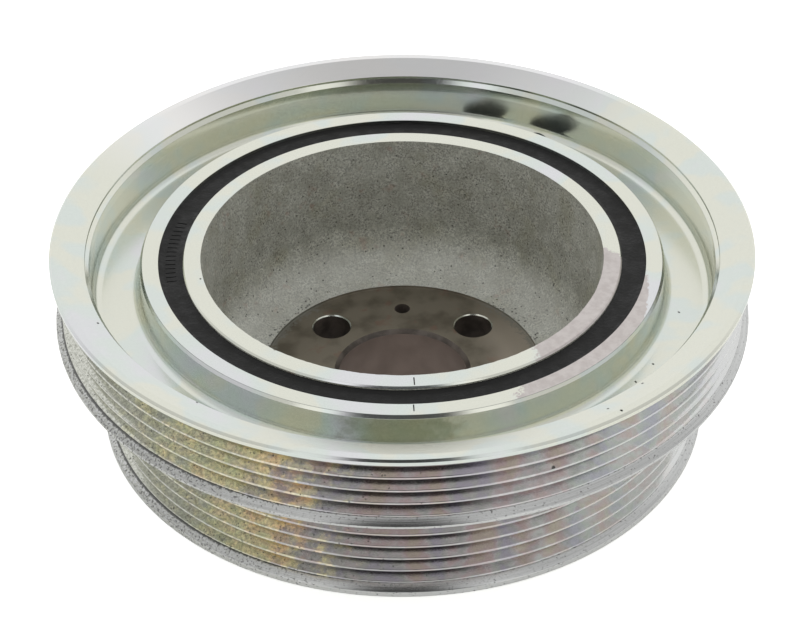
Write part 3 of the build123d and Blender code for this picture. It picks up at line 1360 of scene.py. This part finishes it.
@dataclass
class Hub:
    """The cast cup with its machined rim, spot-faced floor, bore and bolt holes."""

    envelope: Envelope
    wall: float = 4.35
    rim_chamfer: float = 0.4
    cup_depth: float = 36.6
    draft: float = 2.4
    cup_fillet: float = 11.0
    spot_radius: float = 34.6
    spot_depth: float = 0.6
    underside: float = 12.6
    cup_chamfer: float = 2.5
    boss_radius: float = 40.0
    boss_chamfer: float = 1.0
    bore_radius: float = 16.0
    bore_chamfer: float = 1.0
    bolt_circle: float = 51.0
    bolt_radius: float = 4.75
    bolt_chamfer: float = 0.25
    dowel_radius: float = 2.0
    scribe_angle: float = -87.2
    grain: float = 0.62             # size of the cast skin's facets
    steps: int = 512

    def __post_init__(self) -> None:
        """Work out the cup from the hub's envelope."""
        self.face_z = self.envelope.top
        self.floor_z = self.face_z - self.cup_depth
        self.cast_floor_z = self.floor_z + self.spot_depth
        self.cup_radius = self.envelope.radius - self.wall
        self.foot_radius = self.cup_radius - self.draft

    def corners(self) -> list[Corner]:
        """Go round the hub's section, from the boss over the rim into the cup.

        Returns:
            Its corners.
        """
        outer = self.envelope.radius
        return [
            Corner(self.bore_radius + self.bore_chamfer, 0.0, 0.1),
            Corner(self.boss_radius - self.boss_chamfer, 0.0, 0.15),
            Corner(self.boss_radius, self.boss_chamfer, 0.15),
            Corner(self.boss_radius, self.underside, 1.5),
            Corner(outer - self.cup_chamfer, self.underside, 0.8),
            Corner(outer, self.underside + self.cup_chamfer, 0.8),
            Corner(outer, self.face_z - self.rim_chamfer, 0.1),
            Corner(outer - self.rim_chamfer, self.face_z, 0.1),
            Corner(self.cup_radius + 0.35, self.face_z),
            Corner(self.cup_radius, self.face_z),
            Corner(self.foot_radius, self.cast_floor_z, self.cup_fillet),
            Corner(self.spot_radius + 0.15, self.cast_floor_z),
            Corner(self.spot_radius, self.floor_z, 0.15),
            Corner(self.bore_radius + self.bore_chamfer, self.floor_z, 0.1),
            Corner(self.bore_radius, self.floor_z - self.bore_chamfer, 0.1),
            Corner(self.bore_radius, self.bore_chamfer, 0.1),
        ]

    def bolt_tool(self) -> list[Point]:
        """Draw the section of a bolt hole's drill, with the chamfers at both faces."""
        radius, chamfer = self.bolt_radius, self.bolt_chamfer
        wide, high = radius + chamfer + 1.0, self.floor_z + 1.0
        narrow = [(radius, chamfer), (radius, self.floor_z - chamfer)]
        return [(0.0, -1.0), (wide, -1.0), *narrow, (wide, high), (0.0, high)]

    def tools(self) -> list[bpy.types.Object]:
        """Make the drills and the scriber that the hub gets.

        Returns:
            Their solids.
        """
        made = [
            drill(f"bolt_drill_{number}", self.bolt_tool(), self.bolt_circle / 2, 45.0 + 90.0 * number)
            for number in range(4)
        ]
        radius = self.dowel_radius
        top = self.floor_z + 1.0
        reamer = [(0.0, -1.0), (radius, -1.0), (radius, top), (0.0, top)]
        made.append(drill("dowel_reamer", reamer, self.bolt_circle / 2, 90.0))
        end = self.envelope.radius - self.rim_chamfer - 0.4
        made.append(scriber("hub_scriber", self.cup_radius + 0.8, end, self.scribe_angle, self.face_z))
        return made

    def mark_cast(self, hub: bpy.types.Object) -> None:
        """Gather the cup's cast skin in a vertex group."""
        group = hub.vertex_groups.new(name="cast_skin")
        skin, edge = [], []
        for vertex in hub.data.vertices:
            radius, height = place_of(vertex.co)
            inside = self.spot_radius + 0.3 < radius < self.cup_radius + 0.02
            if inside and self.cast_floor_z - 0.01 < height < self.face_z - 0.3:
                skin.append(vertex.index)
            elif self.cup_radius - 0.05 < radius < self.cup_radius + 0.05 and height > self.face_z - 0.3:
                edge.append(vertex.index)
        group.add(skin, 1.0, "REPLACE")
        group.add(edge, 0.45, "REPLACE")

    def build(self) -> bpy.types.Object:
        """Turn, roughen, drill and dress the hub."""
        points = section(self.corners(), turn_per_step=12.0)
        points = divided(points, self.grain, self.cast_floor_z - 0.05, self.face_z, self.cup_radius + 0.01)
        hub = turn_piece("hub_cast", points, self.steps)
        self.mark_cast(hub)
        roughen(hub, "cast_skin", grain=4.5, relief=0.35)
        roughen(hub, "cast_skin", grain=1.3, relief=0.3)
        cut_out(hub, self.tools())
        finish_normals(hub)
        self.paint(hub)
        return hub

    def paint(self, hub: bpy.types.Object) -> None:
        """Dress the hub: bright face, cast cup, spot-faced floor, and painted shade in the holes and on the
        bore's chamfer.
        """
        materials = [
            TurnedZincPlate().build("machined_hub_face"),
            SandCastIron().build(),
            SpotFacedIron().build(),
            DrilledIronWithPaintedShade(body="#6B625B", oil="#4A433D").build("scribed_iron_painted_dark"),
        ]
        dress(hub, "hub", materials)
        assign(hub, {1: self.is_cast, 2: self.is_floor, 3: self.is_drilled})

    def is_drilled(self, face: Face) -> bool:
        """Tell whether a face is in a bolt hole, the dowel hole or the scribed line."""
        radius, height = place_of(face.center)
        side = abs(face.normal.z) < 0.3
        hole = abs(radius - self.bolt_circle / 2) < self.bolt_radius + 0.05 and side
        scribed = radius > self.cup_radius + 0.6 and self.face_z - 0.6 < height < self.face_z - 0.01
        # the bore's chamfer gets the dark drilled iron: painted shade
        bore_edge = self.bore_radius + 0.05 < radius < self.bore_radius + self.bore_chamfer and height > 5.0
        return (hole and height < self.floor_z - 0.3) or bore_edge or (
            scribed and radius < self.envelope.radius - 0.5
        )

    def is_cast(self, face: Face) -> bool:
        """Tell whether a face is part of the cup's cast skin or the cast outside."""
        radius, height = place_of(face.center)
        inside = self.spot_radius + 0.1 < radius < self.cup_radius + 0.2
        level = abs(face.normal.z) >= 0.999
        skin = inside and self.cast_floor_z - 0.2 < height < self.face_z - 0.02 and not level
        floor = inside and abs(height - self.cast_floor_z) < 0.2
        under = radius > self.boss_radius - 0.1 and height < self.envelope.top - 2.0 and not inside
        return skin or floor or under

    def is_floor(self, face: Face) -> bool:
        """Tell whether a face is in the spot face, the holes or the boss."""
        radius, height = place_of(face.center)
        chamfer = radius > self.bore_radius + 3.0 and self.floor_z - 0.2 < height < self.floor_z - 0.05
        return radius < self.spot_radius + 0.1 and height < self.cast_floor_z and not chamfer


# --------------------------------------------------------------------------- studio
@dataclass
class Studio:
    """Pale floor, soft light and camera."""

    floor_size: float = 5000.0
    floor_glow: float = 0.3
    floor_white: float = 0.42       # more of it for the camera alone
    white: str = "#FFFFFF"
    paint: str = "#F2F2F0"
    ceiling: str = "#E2E2E2"
    gap: tuple[Stop, ...] = (       # the dark gap behind the camera, from the floor up
        (0.0, "#595959"),
        (0.75, "#555555"),
        (0.78, "#6E6E6E"),
        (0.8, "#6E6E6E"),
        (0.83, "#484848"),
        (0.94, "#484848"),
        (0.97, "#E2E2E2"),
    )
    gap_edges: Pair = (15.0, 31.0)  # degrees from its middle: full and none
    lamps: tuple[tuple[str, float], ...] = (("softbox_right", 0.57), ("softbox_left", -0.70))
    lamp_place: Pair = (-0.28, 1.1) # Y and Z, m
    lamp_size: Pair = (0.34, 1.05)  # m
    lamp_power: float = 0.95        # W
    focal_length: float = 102.16
    target: tuple[float, float, float] = (-0.59, 0.0, 32.4)
    distance: float = 555.4
    elevation: float = 37.02
    roll: float = 0.39

    def build_floor(self) -> bpy.types.Object:
        """Lay the pale floor that the balancer stands on: white to the eye, and shaded by the balancer."""
        clear_selection()
        bpy.ops.mesh.primitive_plane_add(size=self.floor_size * MM, location=(0.0, 0.0, 0.0))
        floor = bpy.context.object
        floor.name = "studio_floor"
        sheet = Sheet(bpy.data.materials.new("pale_floor"))
        paint = add_node(sheet.tree, "BsdfDiffuse", {"Color": linear(self.paint)})
        strength = sheet.times(self.seen_by(sheet, "Camera", "Glossy", "Transmission"), self.floor_glow)
        strength = sheet.plus(self.seen_by(sheet, "Camera"), self.floor_white, strength)
        glow = add_node(sheet.tree, "Emission", {"Color": linear(self.white), "Strength": strength})
        both = add_node(sheet.tree, "AddShader", {0: paint.outputs[0], 1: glow.outputs[0]})
        add_node(sheet.tree, "OutputMaterial", {"Surface": both.outputs[0]})
        floor.data.materials.append(sheet.owner)
        return floor

    def seen_by(self, sheet: Sheet, *kinds: str) -> Value:
        """Tell rays of some kinds, such as "Camera" or "Glossy", from the rest."""
        path = add_node(sheet.tree, "LightPath")
        return sheet.either(*(path.outputs[f"Is {kind} Ray"] for kind in kinds))

    def build_world(self) -> None:
        """Surround the balancer with white studio walls that have a dark gap behind the camera."""
        world = bpy.data.worlds.new("studio_walls")
        bpy.context.scene.world = world
        sheet = Sheet(world)
        direction = add_node(sheet.tree, "TexCoord").outputs["Generated"]
        parts = add_node(sheet.tree, "SeparateXYZ", {0: direction})
        x, y, z = (parts.outputs[i] for i in range(3))
        north = sheet.math("DIVIDE", y, sheet.either(sheet.from_axis(x, y), 0.001))
        strips = sheet.level(north, -0.58, -0.76, 0.0, 1.1)
        walls = sheet.either(sheet.level(north, 0.15, 0.65, 0.72, 1.0), strips)
        rear = sheet.level(north, 0.85, 0.98, 0.78, 0.58)
        ceiling = sheet.mix(sheet.level(z, 0.955, 0.985), sheet.grey(rear), self.ceiling)
        room = sheet.mix(sheet.level(z, 0.8, 0.9), sheet.grey(walls), ceiling)
        edges = [-math.cos(math.radians(edge)) for edge in self.gap_edges]
        room = sheet.mix(sheet.level(north, *edges, 1.0, 0.0), room, sheet.ramp(z, self.gap, "LINEAR"))
        colour = sheet.mix(self.seen_by(sheet, "Camera", "Transmission"), room, self.white)
        back = add_node(sheet.tree, "Background", {"Color": colour, "Strength": 1.0})
        add_node(sheet.tree, "OutputWorld", {"Surface": back.outputs[0]})

    def build_lamps(self) -> None:
        """Hang a long soft lamp along either side."""
        for name, across in self.lamps:
            clear_selection()
            bpy.ops.object.light_add(type="AREA", location=(across, *self.lamp_place))
            lamp = bpy.context.object
            lamp.name = name
            lamp.data.shape = "RECTANGLE"
            lamp.data.size, lamp.data.size_y = self.lamp_size
            lamp.data.energy = self.lamp_power
            lamp.visible_glossy = False

    def build_camera(self) -> None:
        """Set the camera in front of the balancer and above it."""
        clear_selection()
        rise = math.radians(self.elevation)
        back = Vector((0.0, -math.cos(rise), math.sin(rise)))
        bpy.ops.object.camera_add(location=(Vector(self.target) + back * self.distance) * MM)
        camera = bpy.context.object
        camera.data.lens = self.focal_length
        camera.data.sensor_width = 36.0
        camera.data.clip_start = 0.01
        level_pose = Euler((math.pi / 2 - rise, 0.0, 0.0)).to_matrix()
        roll_pose = Matrix.Rotation(-math.radians(self.roll), 3, "Z")
        camera.rotation_euler = (level_pose @ roll_pose).to_euler()
        bpy.context.scene.camera = camera

    def build(self) -> None:
        """Set up floor, walls, lamps and camera."""
        self.build_floor()
        self.build_world()
        self.build_lamps()
        self.build_camera()
        bpy.context.scene.view_settings.view_transform = "Standard"
        log.info("studio: floor, walls, two lamps and camera")


def main() -> None:
    """Build the balancer's pieces and the studio around them."""
    Studio().build()
    PulleyRing(Envelope.of("pulley_ring")).build()
    RubberRing(Envelope.of("rubber_ring")).build()
    Hub(Envelope.of("hub")).build()


if __name__ == "__main__":
    main()
